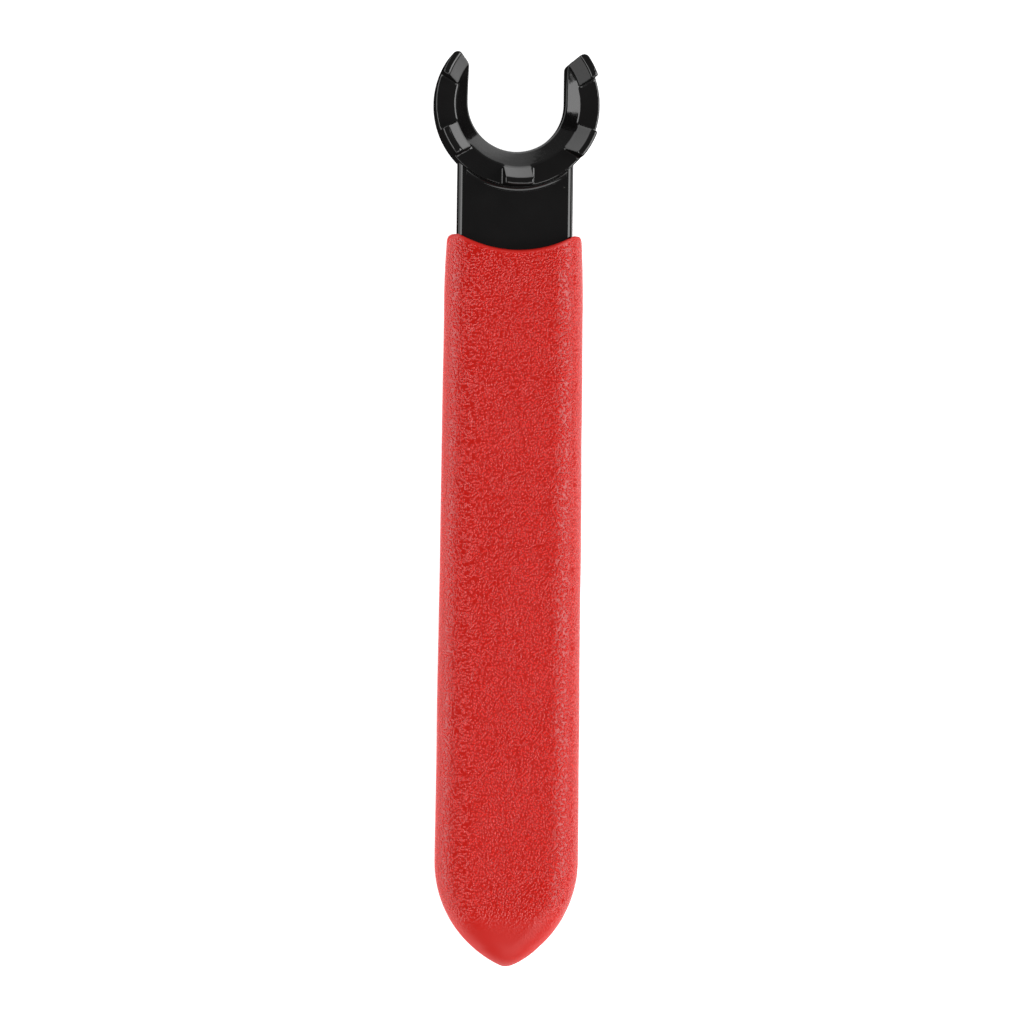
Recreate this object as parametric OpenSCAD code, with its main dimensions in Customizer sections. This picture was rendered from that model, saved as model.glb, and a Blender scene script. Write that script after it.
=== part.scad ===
// Slotted-nut spanner: an open jaw ring with raised lugs, a flat steel shank and a dipped vinyl grip.
// It lies on its back on the plane z = 0, head towards +Y, lugs up. Millimetres.

/* [Jaw ring] */
// Outside diameter of the ring
ring_od = 22.8; // [21.8:0.2:24]
// Height of the ring, from its back to the face between the lugs
ring_h = 4.8; // [4.4:0.2:7]
// Diameter of the ring's face at its inner edge, where the recess begins
face_id = 17.5; // [16.7:0.1:18]
// Width of the open slot, which is also the diameter of its round end
slot_w = 13.6; // [12.8:0.2:14.2]
// Distance that the slot's round end is set forward of the nut's axis
slot_ahead = 0.4; // [0:0.1:0.6]
// Slope of the recess between the face and the slot, in degrees
recess_slope = 44; // [38:1:46]
// Distance forward of the nut's axis at which the open mouth starts to widen
mouth_start = 5.5; // [5.2:0.1:5.8]
// Slope of the mouth's two sides, in degrees
mouth_slope = 38; // [32:1:44]
// Radius of the rounded corners where the mouth meets the slot and the ring's outside
prong_round = 0.8; // [0.4:0.1:1]

/* [Lugs] */
// Width of a lug between its two parallel sides
lug_w = 4; // [3:0.1:4.6]
// Height of a lug above the ring's face
lug_h = 3.5; // [2:0.1:4]
// Radial width of a lug's flat top
lug_land = 0.9; // [0.7:0.1:1.2]
// Radial width of the face left in front of a lug
lug_ledge = 0.05; // [0.05:0.05:0.3]

/* [Shank] */
// Width of the flat bar
bar_w = 16; // [14:0.5:17]
// Thickness of the flat bar
bar_t = 4; // [3:0.5:5]
// Radius of the bar's long edges
bar_edge_r = 1; // [0.5:0.1:1.4]
// Leg of the fillet where the ring stands on the bar
fillet_leg = 0.7; // [0.4:0.1:0.7]

/* [Grip] */
// Distance from the nut's axis to the tip of the grip
reach = 119.4; // [100:0.2:130]
// Distance from the nut's axis to the middle of the grip's open edge
grip_start = 20.2; // [17:0.2:24]
// Thickness of the vinyl on the bar's faces
coat = 1.7; // [1.2:0.1:2.4]
// Thickness of the vinyl on the bar's sides at the open edge
coat_side_top = 1.4; // [1.2:0.1:1.6]
// Thickness of the vinyl on the bar's sides at the lower end
coat_side_low = 2; // [1.8:0.1:2.4]
// Radius of the grip's long edges
grip_edge_r = 3.3; // [2.4:0.1:3.4]
// Radius of the arch that closes the bar's lower end
arch_r = 13.8; // [11:0.2:18]

/* [Hidden] */

eps = 0.01;
steel = [0.10, 0.10, 0.11];
vinyl = [0.78, 0.12, 0.11];

// Heights
back_z = coat;
bar_top_z = back_z + bar_t;
face_z = back_z + ring_h;
lug_top_z = face_z + lug_h;
grip_t = bar_t + 2 * coat;

// The ring
ring_r = ring_od / 2;
slot_r = slot_w / 2;
face_ir = face_id / 2;
recess_depth = (face_ir - slot_r + slot_ahead) * tan(recess_slope);
recess_below = recess_depth + 1;
lug_base_r = face_ir + lug_ledge;
lug_top_r = ring_r - lug_land;
lug_root = 1;
lug_root_r = lug_base_r - lug_root * (lug_top_r - lug_base_r) / lug_h;
lug_pitch = 60;
first_lug = 150;
lug_count = 5;

// Where a side of the mouth, a straight line, crosses the ring's outside
mouth_rise = tan(mouth_slope);
mouth_apex = mouth_start - slot_r * mouth_rise;
corner_x = (sqrt(pow(ring_r, 2) * (1 + pow(mouth_rise, 2)) - pow(mouth_apex, 2)) - mouth_apex * mouth_rise)
    / (1 + pow(mouth_rise, 2));
corner_y = mouth_apex + corner_x * mouth_rise;

// Centres of the prongs' corner rounds, both at the round's radius below the mouth's side
round_apex = mouth_apex - prong_round / cos(mouth_slope);
outer_r = ring_r - prong_round;
outer_x = (sqrt(pow(outer_r, 2) * (1 + pow(mouth_rise, 2)) - pow(round_apex, 2)) - round_apex * mouth_rise)
    / (1 + pow(mouth_rise, 2));
outer_y = round_apex + outer_x * mouth_rise;
inner_x = slot_r + prong_round;
inner_y = round_apex + inner_x * mouth_rise;
// The rounded outer corner reaches a little less far forward than the sharp one
head_y = outer_y + prong_round;

// The object is centred lengthways on the origin: the prongs' round outer corners are its head end
nut_y = (reach - head_y) / 2;
tip_y = nut_y - reach;
lip_y = nut_y - grip_start;

// The arch at the lower end has both its centres on one line across the bar
arch_in = arch_r - bar_w / 2;
grip_arch_r = arch_r + coat_side_low;
spring_y = tip_y + sqrt(pow(grip_arch_r, 2) - pow(arch_in, 2));

// The open edge of the grip dips in an arc across the bar
lip_sag = 2.1;
lip_arc_r = (pow(bar_w / 2, 2) + pow(lip_sag, 2)) / (2 * lip_sag);
lip_round = 0.3;
grip_top_w = bar_w + 2 * coat_side_top;
grip_low_w = bar_w + 2 * coat_side_low;

// Outline of a rectangle centred on the origin with round corners
function round_rect(w, h, r, steps) = [
    for (corner = [0 : 3], i = [0 : steps])
        let (a = 90 * corner + 90 * i / steps,
             sx = (corner == 0 || corner == 3) ? 1 : -1,
             sy = corner < 2 ? 1 : -1)
            [sx * (w / 2 - r) + r * cos(a), sy * (h / 2 - r) + r * sin(a)]
];

// Half the grip's width inside its arch, at a distance d below the spring line
function arch_half_w(d) = sqrt(pow(grip_arch_r, 2) - pow(d, 2)) - arch_in;

// One thin slice across the grip, with its thickness centred on the bar's
module grip_slice(y, w, t, r) {
    translate([0, y + eps, grip_t / 2])
        rotate([90, 0, 0])
            linear_extrude(eps)
                polygon(round_rect(w, t, r, 6));
}

module lug_bars() {
    for (i = [0 : lug_count - 1])
        rotate(first_lug + i * lug_pitch)
            translate([0, -lug_w / 2, face_z - 2 * lug_root])
                cube([2 * ring_r, lug_w, lug_h + 3 * lug_root]);
}

// The crown that the lugs are cut from, sloped inside towards the nut
module lug_crown() {
    rotate_extrude($fn = 180)
        polygon([
            [lug_root_r, face_z - lug_root],
            [ring_r, face_z - lug_root],
            [ring_r, lug_top_z],
            [lug_top_r, lug_top_z]
        ]);
}

module slot_cut() {
    translate([0, slot_ahead, back_z - 1])
        cylinder(r = slot_r, h = ring_h + lug_h + 2, $fn = 180);
    translate([-slot_r, slot_ahead, back_z - 1])
        cube([slot_w, 2 * ring_r, ring_h + lug_h + 2]);
}

// The open mouth, in place of a sixth lug: its two sides spread outwards right through the ring
module mouth_cut() {
    far = 2 * ring_r;
    translate([0, 0, back_z - 1])
        linear_extrude(ring_h + lug_h + 2)
            polygon([
                [0, mouth_apex],
                [far, mouth_apex + far * mouth_rise],
                [far, 2 * far],
                [-far, 2 * far],
                [-far, mouth_apex + far * mouth_rise]
            ]);
}

// What a corner round of a prong takes off: the corner outside a circle that touches both its sides
module corner_round(centre, angle_a, angle_b, corner) {
    spare = 2 * (corner - centre);
    translate([centre[0], centre[1], back_z - 1])
        difference() {
            linear_extrude(ring_h + lug_h + 2)
                polygon([
                    [0, 0],
                    prong_round * [cos(angle_a), sin(angle_a)],
                    spare,
                    prong_round * [cos(angle_b), sin(angle_b)]
                ]);
            translate([0, 0, -1])
                cylinder(r = prong_round, h = ring_h + lug_h + 4, $fn = 60);
        }
}

module prong_rounds() {
    for (side = [0, 1])
        mirror([side, 0, 0]) {
            corner_round(
                [outer_x, outer_y],
                90 + mouth_slope,
                atan2(outer_y, outer_x),
                [corner_x, corner_y]
            );
            corner_round(
                [inner_x, inner_y],
                90 + mouth_slope,
                180,
                [slot_r, mouth_start]
            );
        }
}

module recess_cut() {
    translate([0, 0, face_z - recess_below])
        cylinder(
            r1 = face_ir - recess_below / tan(recess_slope),
            r2 = face_ir,
            h = recess_below,
            $fn = 180
        );
}

module jaw_ring() {
    color(steel)
        translate([0, nut_y, 0])
            difference() {
                union() {
                    translate([0, 0, back_z])
                        cylinder(r = ring_r, h = ring_h, $fn = 180);
                    intersection() {
                        lug_crown();
                        lug_bars();
                    }
                }
                recess_cut();
                slot_cut();
                mouth_cut();
                prong_rounds();
            }
}

module bar_body() {
    top_y = nut_y;
    translate([0, top_y, back_z + bar_t / 2])
        rotate([90, 0, 0])
            linear_extrude(top_y - tip_y)
                polygon(round_rect(bar_w, bar_t, bar_edge_r, 6));
}

module bar_arch() {
    intersection_for (side = [-1, 1])
        translate([side * arch_in, spring_y, 0])
            cylinder(r = arch_r, h = grip_t, $fn = 180);
}

module shank_bar() {
    color(steel)
        difference() {
            intersection() {
                bar_body();
                union() {
                    translate([-bar_w, spring_y, 0])
                        cube([2 * bar_w, reach, grip_t]);
                    bar_arch();
                }
            }
            translate([0, nut_y, back_z - 1])
                cylinder(r = ring_r, h = ring_h + 2, $fn = 180);
        }
}

// A hollow fillet round the foot of the ring, on the flat of the bar's face
module foot_fillet() {
    land = 0.06;
    hollow_r = fillet_leg - land;
    color(steel)
        intersection() {
            translate([0, nut_y, bar_top_z])
                rotate_extrude($fn = 180)
                    difference() {
                        translate([ring_r, 0])
                            square(fillet_leg);
                        translate([ring_r + fillet_leg, fillet_leg])
                            circle(r = hollow_r, $fn = 60);
                    }
            translate([-(bar_w / 2 - bar_edge_r), nut_y - 2 * ring_r, bar_top_z])
                cube([bar_w - 2 * bar_edge_r, 2 * ring_r, ring_h]);
        }
}

module grip_body() {
    // Distances below the spring line of the slices through the arch
    arch_depth = spring_y - tip_y;
    steps = 7;
    hull() {
        grip_slice(lip_y + lip_sag + lip_round, grip_top_w - lip_round, grip_t - lip_round, grip_edge_r);
        grip_slice(lip_y, grip_top_w, grip_t, grip_edge_r);
        grip_slice(spring_y, grip_low_w, grip_t, grip_edge_r);
        for (i = [1 : steps]) {
            share = sin(90 * i / (steps + 0.25));
            w = 2 * arch_half_w(arch_depth * share);
            t = grip_t * (1 - 0.55 * pow(share, 6));
            grip_slice(spring_y - arch_depth * share, w, t, min(grip_edge_r, 0.45 * w, 0.45 * t));
        }
    }
}

module vinyl_grip() {
    color(vinyl)
        difference() {
            grip_body();
            shank_bar();
            translate([0, lip_y + lip_arc_r, -1])
                cylinder(r = lip_arc_r, h = grip_t + 2, $fn = 180);
        }
}

jaw_ring();
shank_bar();
foot_fillet();
vinyl_grip();
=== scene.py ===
import math

import bpy
from mathutils import Matrix, Vector, noise


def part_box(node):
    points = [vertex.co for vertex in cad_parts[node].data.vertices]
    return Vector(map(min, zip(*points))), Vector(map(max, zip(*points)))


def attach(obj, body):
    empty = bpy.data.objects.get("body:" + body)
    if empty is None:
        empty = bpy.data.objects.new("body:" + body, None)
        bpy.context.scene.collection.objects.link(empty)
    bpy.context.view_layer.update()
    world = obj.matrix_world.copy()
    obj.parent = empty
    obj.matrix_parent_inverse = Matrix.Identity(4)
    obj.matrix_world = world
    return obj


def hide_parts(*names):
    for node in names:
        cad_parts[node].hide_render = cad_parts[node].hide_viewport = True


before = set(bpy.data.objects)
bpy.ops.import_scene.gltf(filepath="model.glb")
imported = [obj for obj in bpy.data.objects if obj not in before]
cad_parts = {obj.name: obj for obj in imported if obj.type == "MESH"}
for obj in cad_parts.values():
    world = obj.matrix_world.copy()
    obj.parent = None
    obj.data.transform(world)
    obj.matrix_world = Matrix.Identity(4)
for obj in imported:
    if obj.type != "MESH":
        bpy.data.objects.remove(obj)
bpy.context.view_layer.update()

# Slotted-nut spanner: a black steel jaw and shank with a dipped vinyl grip, lying on its back.
# Lengths are in metres, in the frame's axes: head towards +Y, lugs up.

MM = 0.001

# The frame's own sizes
bar_low, bar_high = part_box("shank_bar")
grip_low, grip_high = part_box("vinyl_grip")
bar_half_w = bar_high.x
bar_half_t = (bar_high.z - bar_low.z) / 2
mid_z = (grip_low.z + grip_high.z) / 2
bar_face_z = bar_high.z

# The bar inside the grip
BAR_EDGE_R = 1.0 * MM
BAR_ARCH_R = 13.8 * MM

# The grip's outline, seen from above
GRIP_HALF_LOW = grip_high.x
GRIP_HALF_SWELL = 9.68 * MM
GRIP_HALF_TOP = 9.38 * MM
SWELL = 8.0 * MM
ARCH_R = 15.8 * MM
ARCH_IN = ARCH_R - GRIP_HALF_LOW
NOSE_R = 1.6 * MM
TIP_Y = grip_low.y

# The grip's section: a slightly crowned slab whose round edges are lower than they are wide
GRIP_EDGE_R = 3.45 * MM
EDGE_SQUASH = 0.73
CROWN = 0.10 * MM
full_half_t = mid_z - CROWN

# How the grip thins down to its tip: over this length, along a curve of this power
ROUND_OVER = 4.2 * MM
ROUND_POWER = 2.3

# The grip's lip: an arc across the bar that ends in an ear on each side
LIP_SAG = 2.1 * MM
LIP_ARC_R = (bar_half_w ** 2 + LIP_SAG ** 2) / (2 * LIP_SAG)
LIP_ROUND = 0.32 * MM
LIP_DIP = 0.1 * MM
EAR_R = 0.7 * MM
# The middle of the lip lies this far below the top of the grip's CAD box
LIP_DEPTH = 2.38 * MM
LIP_Y = grip_high.y - LIP_DEPTH

# The grip's mesh
GRIP_AROUND = 192
GRIP_STEP = 0.27 * MM
LIP_BLEND = 8.0 * MM
LIP_RINGS = 12
POCKET_RINGS = 40


# ---------------------------------------------------------------- shader helpers


def new_material(name):
    material = bpy.data.materials.new(name)
    material.use_nodes = True
    material.node_tree.nodes.clear()
    return material


def add_node(tree, kind, sockets=None, **settings):
    """A node with its settings made and its sockets filled from values or from other sockets."""
    node = tree.nodes.new(kind)
    for key, value in settings.items():
        setattr(node, key, value)
    for key, value in (sockets or {}).items():
        if isinstance(value, bpy.types.NodeSocket):
            tree.links.new(value, node.inputs[key])
        else:
            node.inputs[key].default_value = value
    return node


def place(tree):
    """Position on the object, in metres."""
    return add_node(tree, "ShaderNodeTexCoord").outputs["Object"]


def noise_at(tree, where, scale, detail=2.0, roughness=0.5):
    sockets = {"Vector": where, "Scale": scale, "Detail": detail, "Roughness": roughness}
    return add_node(tree, "ShaderNodeTexNoise", sockets).outputs["Fac"]


def spread(tree, value, low, high, to_low, to_high):
    """The value's range from low to high, carried smoothly to the range from to_low to to_high."""
    sockets = {"Value": value, 1: low, 2: high, 3: to_low, 4: to_high}
    node = add_node(tree, "ShaderNodeMapRange", sockets, interpolation_type="SMOOTHSTEP")
    return node.outputs["Result"]


def math_of(tree, operation, a, b=0.0):
    return add_node(tree, "ShaderNodeMath", {0: a, 1: b}, operation=operation).outputs[0]


def mix_colour(tree, share, a, b):
    """A colour between a and b. A Mix node's colour sockets are numbers 6, 7 and, going out, 2."""
    return add_node(tree, "ShaderNodeMix", {0: share, 6: a, 7: b}, data_type="RGBA").outputs[2]


def upwardness(tree):
    """1 where the surface lies flat, and 0 on its upright walls."""
    facing = add_node(tree, "ShaderNodeTexCoord").outputs["Normal"]
    upward = add_node(tree, "ShaderNodeSeparateXYZ", {0: facing}).outputs["Z"]
    return math_of(tree, "ABSOLUTE", upward)


def finish_material(tree, sockets):
    shader = add_node(tree, "ShaderNodeBsdfPrincipled", sockets)
    output = add_node(tree, "ShaderNodeOutputMaterial")
    tree.links.new(shader.outputs["BSDF"], output.inputs["Surface"])


# ---------------------------------------------------------------- materials


def black_finish():
    """Gloss black finish on steel, with a faint orange peel and a few specks."""
    material = new_material("black_finish")
    tree = material.node_tree
    where = place(tree)
    cloudy = noise_at(tree, where, 300.0, 3.0)
    peel = noise_at(tree, where, 1600.0, 2.0)
    fine = noise_at(tree, where, 5200.0, 2.0)
    cells = add_node(tree, "ShaderNodeTexVoronoi", {"Vector": where, "Scale": 260.0})
    speck = spread(tree, cells.outputs["Distance"], 0.02, 0.045, 1.0, 0.0)
    colour = mix_colour(tree, cloudy, (0.004, 0.0038, 0.0038, 1.0), (0.009, 0.0085, 0.0085, 1.0))
    colour = mix_colour(tree, speck, colour, (0.06, 0.055, 0.05, 1.0))
    rough = spread(tree, cloudy, 0.3, 0.7, 0.05, 0.10)
    rough = math_of(tree, "ADD", rough, math_of(tree, "MULTIPLY", speck, 0.3))
    height = math_of(tree, "ADD", peel, math_of(tree, "MULTIPLY", fine, 0.25))
    height = math_of(tree, "SUBTRACT", height, math_of(tree, "MULTIPLY", speck, 3.0))
    bump = add_node(tree, "ShaderNodeBump", {"Strength": 1.0, "Distance": 0.0025 * MM, "Height": height})
    # Painted shade: the reflections fade out on the upright walls and stay full on the faces and slopes
    painted_shade_gloss = spread(tree, upwardness(tree), 0.22, 0.66, 0.0, 0.5)
    finish_material(
        tree,
        {
            "Base Color": colour,
            "Roughness": rough,
            "Specular IOR Level": painted_shade_gloss,
            "IOR": 1.58,
            "Normal": bump.outputs["Normal"],
        },
    )
    return material


def dipped_vinyl():
    """Red dipped vinyl with a fine pebble grain that fades out at the tip and along the lip."""
    material = new_material("dipped_vinyl")
    tree = material.node_tree
    where = place(tree)
    grain = add_node(tree, "ShaderNodeAttribute", attribute_name="grain").outputs["Fac"]
    cells = add_node(tree, "ShaderNodeTexVoronoi", {"Vector": where, "Scale": 3300.0})
    pebble = spread(tree, cells.outputs["Distance"], 0.05, 0.7, 1.0, 0.0)
    ripple = noise_at(tree, where, 4200.0, 1.0, 0.5)
    patches = noise_at(tree, where, 160.0, 3.0)
    height = math_of(tree, "ADD", pebble, math_of(tree, "MULTIPLY", ripple, 0.35))
    height = math_of(tree, "MULTIPLY", height, grain)
    valley = spread(tree, height, 0.15, 0.9, 1.0, 0.0)
    colour = mix_colour(tree, patches, (0.83, 0.0115, 0.0055, 1.0), (0.91, 0.0150, 0.0075, 1.0))
    # Painted shade: the colour darkens in the grain's valleys
    painted_valley_shade = math_of(tree, "MULTIPLY", math_of(tree, "MULTIPLY", valley, grain), 0.6)
    colour = mix_colour(tree, painted_valley_shade, colour, (0.42, 0.006, 0.003, 1.0))
    # Painted shade: the colour turns a deeper red where the grain fades out, at the tip and along the lip
    smooth = spread(tree, grain, 0.0, 1.0, 0.75, 0.0)
    colour = mix_colour(tree, smooth, colour, (0.60, 0.009, 0.004, 1.0))
    rough = spread(tree, patches, 0.3, 0.7, 0.15, 0.22)
    rough = math_of(tree, "ADD", rough, spread(tree, grain, 0.0, 1.0, 0.32, 0.0))
    # Painted shade: the reflections are weaker on the grip's upright sides than on its faces
    painted_shade_gloss = spread(tree, upwardness(tree), 0.15, 0.75, 0.1, 0.5)
    bump = add_node(tree, "ShaderNodeBump", {"Strength": 1.0, "Distance": 0.1 * MM, "Height": height})
    finish_material(
        tree,
        {
            "Base Color": colour,
            "Roughness": rough,
            "Specular IOR Level": painted_shade_gloss,
            "IOR": 1.5,
            "Normal": bump.outputs["Normal"],
        },
    )
    return material


def pale_floor():
    """Near-white table with a faint mottle, and a painted pool of light: it glows brightly where the object
    lies and dimmer further out.
    """
    material = new_material("pale_floor")
    tree = material.node_tree
    where = place(tree)
    mottle = noise_at(tree, where, 90.0, 3.0)
    colour = mix_colour(tree, mottle, (0.50, 0.50, 0.50, 1.0), (0.54, 0.54, 0.54, 1.0))
    away = add_node(tree, "ShaderNodeVectorMath", {0: where}, operation="LENGTH").outputs["Value"]
    # Painted pool of light: the floor glows brightly near the object and dimmer further out
    glow = spread(tree, away, 0.085, 0.14, 1.0, 0.3)
    finish_material(
        tree,
        {
            "Base Color": colour,
            "Roughness": 0.9,
            "Specular IOR Level": 0.0,
            "Emission Color": (1.0, 1.0, 1.0, 1.0),
            "Emission Strength": glow,
        },
    )
    return material


# ---------------------------------------------------------------- steel parts


def weld_points(node):
    """Joins the CAD node's points where its faces meet, and drops its stored normals."""
    mesh = node.data
    if "custom_normal" in mesh.attributes:
        mesh.attributes.remove(mesh.attributes["custom_normal"])
    weld = node.modifiers.new("weld", "WELD")
    weld.merge_threshold = 0.001 * MM


def soften_edges(node, width):
    """Rounds the CAD node's sharp edges a little, as a ground and coated part has them."""
    weld_points(node)
    node.data.polygons.foreach_set("use_smooth", [True] * len(node.data.polygons))
    flat = node.modifiers.new("flat", "DECIMATE")
    flat.decimate_type = "DISSOLVE"
    flat.angle_limit = math.radians(0.5)
    bevel = node.modifiers.new("bevel", "BEVEL")
    bevel.width = width
    bevel.segments = 3
    bevel.limit_method = "ANGLE"
    bevel.angle_limit = math.radians(25)
    bevel.harden_normals = True
    bevel.use_clamp_overlap = True
    smooth = node.modifiers.new("smooth", "WEIGHTED_NORMAL")
    smooth.keep_sharp = False


def melt_edges(node, voxel, rounds):
    """Rounds all of the node's edges softly, as on a cast part under a thick coating."""
    weld_points(node)
    skin = node.modifiers.new("skin", "REMESH")
    skin.mode = "VOXEL"
    skin.voxel_size = voxel
    skin.use_smooth_shade = True
    relax = node.modifiers.new("relax", "SMOOTH")
    relax.factor = 0.5
    relax.iterations = rounds


def steel_parts(material):
    melt_edges(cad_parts["jaw_ring"], voxel=0.13 * MM, rounds=22)
    soften_edges(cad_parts["shank_bar"], width=0.12 * MM)
    soften_edges(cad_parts["foot_fillet"], width=0.02 * MM)
    for name in ("jaw_ring", "shank_bar", "foot_fillet"):
        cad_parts[name].data.materials[0] = material


# ---------------------------------------------------------------- the grip


def section_point(index, count, half_w, half_t, corner):
    """One of count evenly spaced points round a rectangle with round corners, centred on the bar."""
    quarter = count // 4
    turn, step = divmod(index, quarter)
    side = half_t - corner
    arc = corner * math.pi / 2
    length = side + arc + half_w - corner
    along = length * step / quarter
    if turn % 2:
        along = length - along
    if along < side:
        x, z = half_w, along
    elif along < side + arc:
        angle = (along - side) / corner
        x = half_w - corner + corner * math.cos(angle)
        z = half_t - corner + corner * math.sin(angle)
    else:
        x, z = half_w - corner - (along - side - arc), half_t
    if turn in (1, 2):
        x = -x
    if turn in (2, 3):
        z = -z
    return x, z


def arch_half_width(depth):
    """Half the grip's width at a depth below the line where its arch springs, round nose included."""
    nose_centre = math.sqrt((ARCH_R - NOSE_R) ** 2 - ARCH_IN ** 2)
    touch = nose_centre * ARCH_R / (ARCH_R - NOSE_R)
    if depth <= touch:
        return math.sqrt(ARCH_R ** 2 - depth ** 2) - ARCH_IN
    return math.sqrt(max(NOSE_R ** 2 - (depth - nose_centre) ** 2, 0.0))


def straight_half_width(y, spring_y):
    """Half the grip's width above the arch: it narrows slowly, and faster close to the lip."""
    swell_y = LIP_Y - SWELL
    if y < swell_y:
        share = (swell_y - y) / (swell_y - spring_y)
        return GRIP_HALF_SWELL + (GRIP_HALF_LOW - GRIP_HALF_SWELL) * share
    share = (y - swell_y) / SWELL
    return GRIP_HALF_SWELL + (GRIP_HALF_TOP - GRIP_HALF_SWELL) * share ** 2


def grip_rows():
    """Rows of the grip's outside from just above its tip to its lip: y, half width, half thickness."""
    arch_depth = math.sqrt((ARCH_R - NOSE_R) ** 2 - ARCH_IN ** 2) + NOSE_R
    spring_y = TIP_Y + arch_depth
    first = 0.004 * MM
    nudge = 0.01 * MM
    steepest = 8.0
    rows = []
    depth = arch_depth - first
    while depth > 0:
        above_tip = arch_depth - depth
        share = min(above_tip / ROUND_OVER, 1.0)
        half_t = full_half_t * (1 - (1 - share) ** ROUND_POWER) ** (1 / ROUND_POWER)
        half_w = arch_half_width(depth)
        rows.append((spring_y - depth, half_w, half_t))
        # Steps are even along the outline, so they shorten where it runs across
        slope = abs(arch_half_width(depth - nudge) - half_w) / nudge
        depth -= GRIP_STEP / math.hypot(1.0, min(slope, steepest))
    straight = LIP_Y - LIP_ROUND - spring_y
    steps = round(straight / GRIP_STEP)
    for step in range(1, steps + 1):
        share = step / steps
        y = spring_y + straight * share
        rows.append((y, straight_half_width(y, spring_y), full_half_t))
    return rows


def lip_offset(x):
    """How far the lip stands above its middle: an arc that ends in a round ear on each side."""
    x = min(abs(x), GRIP_HALF_TOP)
    ear = GRIP_HALF_TOP - EAR_R
    arc = LIP_ARC_R - math.sqrt(LIP_ARC_R ** 2 - min(x, bar_half_w) ** 2)
    if x <= ear:
        return arc
    return arc - EAR_R + math.sqrt(max(EAR_R ** 2 - (x - ear) ** 2, 0.0))


def grain_share(point):
    """How strongly the grain shows: none at the tip and on the lip, all of it elsewhere."""
    smooth_tip, tip_fade = 3.6 * MM, 5.0 * MM
    smooth_lip, lip_fade = 0.3 * MM, 0.4 * MM
    wander = 1.2 * MM * noise.noise(point * 180.0)
    from_tip = (point.y - TIP_Y + wander - smooth_tip) / tip_fade
    from_lip = (LIP_Y + lip_offset(point.x) - point.y - smooth_lip) / lip_fade
    return max(0.0, min(1.0, from_tip, from_lip))


def ring_of(y, half_w, half_t, corner, count, lip_share, crown, squash=1.0):
    """A ring of points round the bar's line: a crowned section, drawn along the lip's curve by its share."""
    widest_corner = 0.96
    corner = min(corner, widest_corner * half_w * squash, widest_corner * half_t)
    ring = []
    for index in range(count):
        x, z = section_point(index, count, half_w * squash, half_t, corner)
        x /= squash
        bulge = crown * math.cos(0.5 * math.pi * min(abs(x) / half_w, 1.0)) * z / half_t
        ring.append(Vector((x, y + lip_share * lip_offset(x), mid_z + z + bulge)))
    return ring


def grip_rings():
    """The grip's rings of points, from the tip outside, over the lip and back inside along the bar."""
    rings = []
    fewest = 12
    closest = 0.55 * GRIP_STEP
    for y, half_w, half_t in grip_rows():
        around = GRIP_AROUND
        # The section's round edges take about a tenth off the length of its four sides
        length = 4 * (half_w + half_t) * 0.9
        while around > fewest and length / around < closest:
            around //= 2
        lip_share = max(0.0, 1 - (LIP_Y - y) / LIP_BLEND)
        crown = CROWN * half_t / full_half_t
        rings.append(ring_of(y, half_w, half_t, GRIP_EDGE_R, around, lip_share, crown, EDGE_SQUASH))
    # Over the rounded lip in the first half of these, and in to the bar in the second half
    thick_w = GRIP_HALF_TOP - bar_half_w
    thick_t = full_half_t - bar_half_t
    half_way = LIP_RINGS // 2
    for step in range(1, LIP_RINGS + 1):
        if step <= half_way:
            angle = math.pi / 2 * step / half_way
            inset = LIP_ROUND * (1 - math.cos(angle))
            rise = LIP_ROUND * (math.sin(angle) - 1)
        else:
            inward = (step - half_way) / half_way
            inset = LIP_ROUND + (thick_w - LIP_ROUND) * inward
            rise = -LIP_DIP * inward ** 2
        share = inset / thick_w
        half_w = GRIP_HALF_TOP - thick_w * share
        half_t = full_half_t - thick_t * share
        corner = GRIP_EDGE_R + (BAR_EDGE_R - GRIP_EDGE_R) * share
        crown = CROWN * (1 - share)
        squash = EDGE_SQUASH + (1 - EDGE_SQUASH) * share
        rings.append(ring_of(LIP_Y + rise, half_w, half_t, corner, GRIP_AROUND, 1.0, crown, squash))
    return rings


def pocket_rings():
    """The coat's inner wall, down along the bar to its tip, where it stands off the bar a little."""
    gap = 0.004 * MM
    tip_gap = 0.1 * MM
    spring_y = bar_low.y + math.sqrt(BAR_ARCH_R ** 2 - (BAR_ARCH_R - bar_half_w) ** 2)
    rings = []
    top = LIP_Y - 0.6 * MM
    for step in range(POCKET_RINGS + 1):
        y = top + (bar_low.y - top) * step / POCKET_RINGS
        depth = max(spring_y - y, 0.0)
        half_w = bar_half_w
        if depth > 0:
            arch = math.sqrt(max(BAR_ARCH_R ** 2 - depth ** 2, 0.0)) - (BAR_ARCH_R - bar_half_w)
            half_w = max(arch, 0.0) + tip_gap
        share = max(0.0, 1 - (top - y) / LIP_BLEND)
        rings.append(ring_of(y, half_w + gap, bar_half_t + gap, BAR_EDGE_R, GRIP_AROUND // 4, share, 0.0))
    return rings


def stitch(faces, lower, upper):
    """Joins two rings of point numbers; one of them may hold a half or a quarter as many as the other."""
    count = min(len(lower), len(upper))
    low_step = len(lower) // count
    high_step = len(upper) // count
    for i in range(count):
        a = [lower[(i * low_step + k) % len(lower)] for k in range(low_step + 1)]
        b = [upper[(i * high_step + k) % len(upper)] for k in range(high_step + 1)]
        for k in range(low_step - 1):
            faces.append((a[k], a[k + 1], b[0]))
        for k in range(high_step - 1):
            faces.append((a[0], b[k + 1], b[k]))
        faces.append((a[low_step - 1], a[low_step], b[high_step], b[high_step - 1]))


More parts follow.
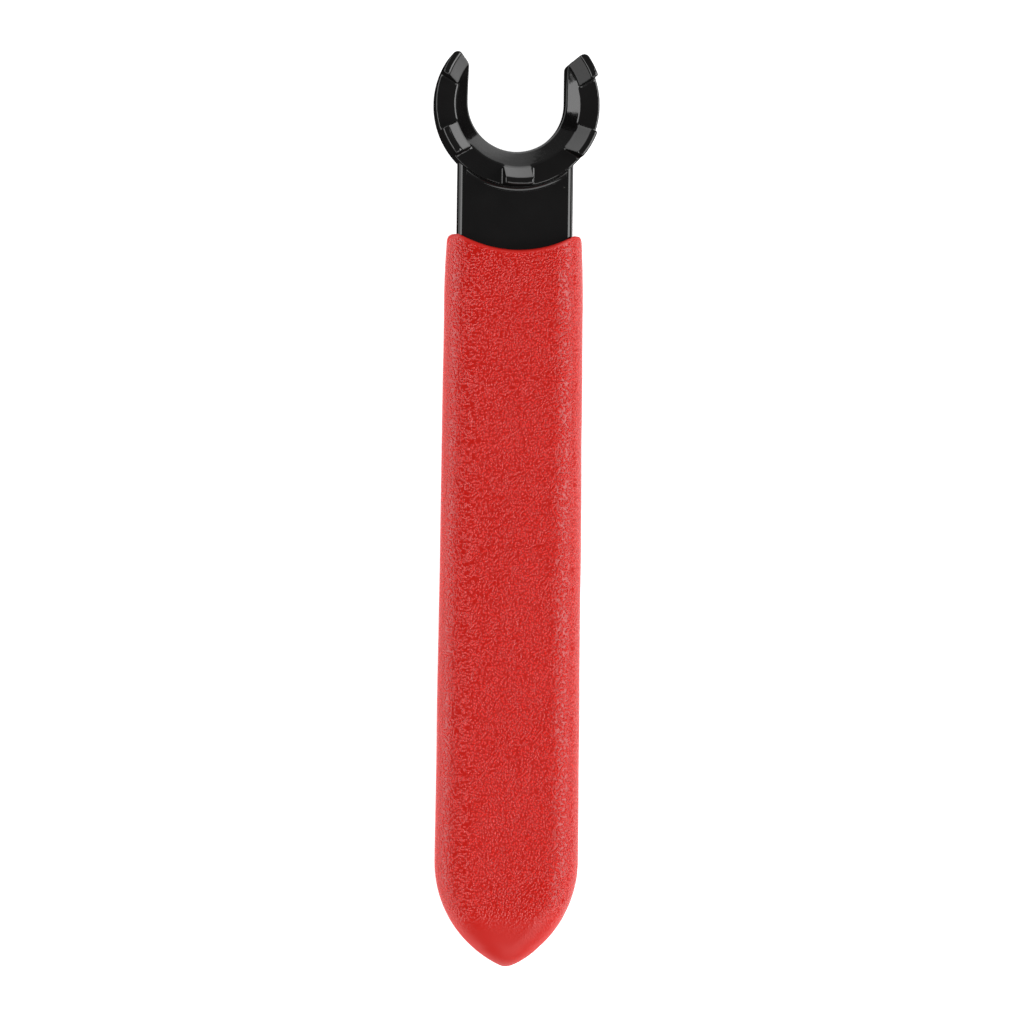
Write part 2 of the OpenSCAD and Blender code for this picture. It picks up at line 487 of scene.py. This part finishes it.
def grip_coat(material):
    """The dipped vinyl coat: one closed skin, grained outside, with a pocket that the bar fills."""
    wave, wave_scale = 0.05 * MM, 130.0
    pebble, pebble_scale = 0.012 * MM, 1500.0
    points = []
    faces = []
    numbered = []
    outside = grip_rings()
    outside_count = sum(len(ring) for ring in outside)
    for ring in outside + pocket_rings():
        numbered.append(list(range(len(points), len(points) + len(ring))))
        points.extend(ring)
    faces.append(tuple(reversed(numbered[0])))
    faces.append(tuple(numbered[-1]))
    for lower, upper in zip(numbered, numbered[1:]):
        stitch(faces, lower, upper)
    mesh = bpy.data.meshes.new("grip_coat")
    mesh.from_pydata(points, [], faces)
    mesh.update()
    grain = mesh.attributes.new("grain", "FLOAT", "POINT")
    normals = [vertex.normal.copy() for vertex in mesh.vertices]
    for vertex, normal in zip(mesh.vertices, normals):
        point = vertex.co.copy()
        share = grain_share(point) if vertex.index < outside_count else 0.0
        grain.data[vertex.index].value = share
        height = wave * noise.noise(point * wave_scale) + pebble * noise.noise(point * pebble_scale)
        vertex.co = point + normal * height * share
    mesh.polygons.foreach_set("use_smooth", [True] * len(mesh.polygons))
    mesh.materials.append(material)
    coat = bpy.data.objects.new("grip_coat", mesh)
    bpy.context.scene.collection.objects.link(coat)
    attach(coat, "root")
    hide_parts("vinyl_grip")


# ---------------------------------------------------------------- the stage


def floor():
    mesh = bpy.data.meshes.new("floor")
    half = 1.5
    corners = [(-half, -half, 0), (half, -half, 0), (half, half, 0), (-half, half, 0)]
    mesh.from_pydata(corners, [], [(0, 1, 2, 3)])
    mesh.materials.append(pale_floor())
    table = bpy.data.objects.new("floor", mesh)
    bpy.context.scene.collection.objects.link(table)


def softbox(name, centre, width, height, brightness, aim):
    """A rectangular light at centre that faces the aim. Its size doesn't change how bright its face looks."""
    light = bpy.data.lights.new(name, "AREA")
    light.shape = "RECTANGLE"
    light.size = width
    light.size_y = height
    light.energy = brightness * math.pi * width * height
    lamp = bpy.data.objects.new(name, light)
    lamp.location = centre
    lamp.rotation_euler = (Vector(aim) - Vector(centre)).to_track_quat("-Z", "Y").to_euler()
    bpy.context.scene.collection.objects.link(lamp)


def lights():
    """A high box on the right, a low one on the left, and a fainter one beyond the grip's end."""
    softbox("softbox_right", (0.40, 0.0, 0.46), 0.5, 0.56, 4.2, (0.0, 0.0, 0.46))
    softbox("softbox_left", (-0.40, 0.0, 0.11), 0.5, 0.22, 3.3, (0.0, 0.0, 0.11))
    softbox("softbox_foot", (0.14, -0.50, 0.50), 0.5, 0.5, 2.0, (0.0, 0.0, 0.0))


def sky():
    """Dark above, where the camera stands, and a little brighter towards the horizon."""
    world = bpy.data.worlds.new("studio")
    bpy.context.scene.world = world
    world.use_nodes = True
    tree = world.node_tree
    tree.nodes.clear()
    direction = add_node(tree, "ShaderNodeTexCoord").outputs["Generated"]
    split = add_node(tree, "ShaderNodeSeparateXYZ", {0: direction})
    level = spread(tree, split.outputs["Z"], 0.3, 0.9, 0.16, 0.10)
    back = add_node(tree, "ShaderNodeBackground", {"Color": (1, 1, 1, 1), "Strength": level})
    output = add_node(tree, "ShaderNodeOutputWorld")
    tree.links.new(back.outputs[0], output.inputs["Surface"])


def camera():
    """High above the object and a little to its left, facing it, turned so that the head leans right."""
    lens = bpy.data.cameras.new("camera")
    aim = Vector((-0.05 * MM, -0.06 * MM, bar_face_z))
    position = aim + Vector((-0.0607, 0.0, 0.570))
    frame_width = 0.1416
    lens.sensor_width = 36.0
    lens.lens = lens.sensor_width * (position - aim).length / frame_width
    lens.clip_start = 0.01
    lean = math.radians(0.75)
    back = (position - aim).normalized()
    right = Vector((-math.sin(lean), math.cos(lean), 0.0)).cross(back).normalized()
    up = back.cross(right)
    eye = bpy.data.objects.new("camera", lens)
    eye.location = position
    eye.rotation_euler = Matrix((right, up, back)).transposed().to_euler()
    bpy.context.scene.collection.objects.link(eye)
    bpy.context.scene.camera = eye


camera()
sky()
lights()
floor()
steel_parts(black_finish())
grip_coat(dipped_vinyl())
bpy.context.scene.view_settings.view_transform = "Standard"
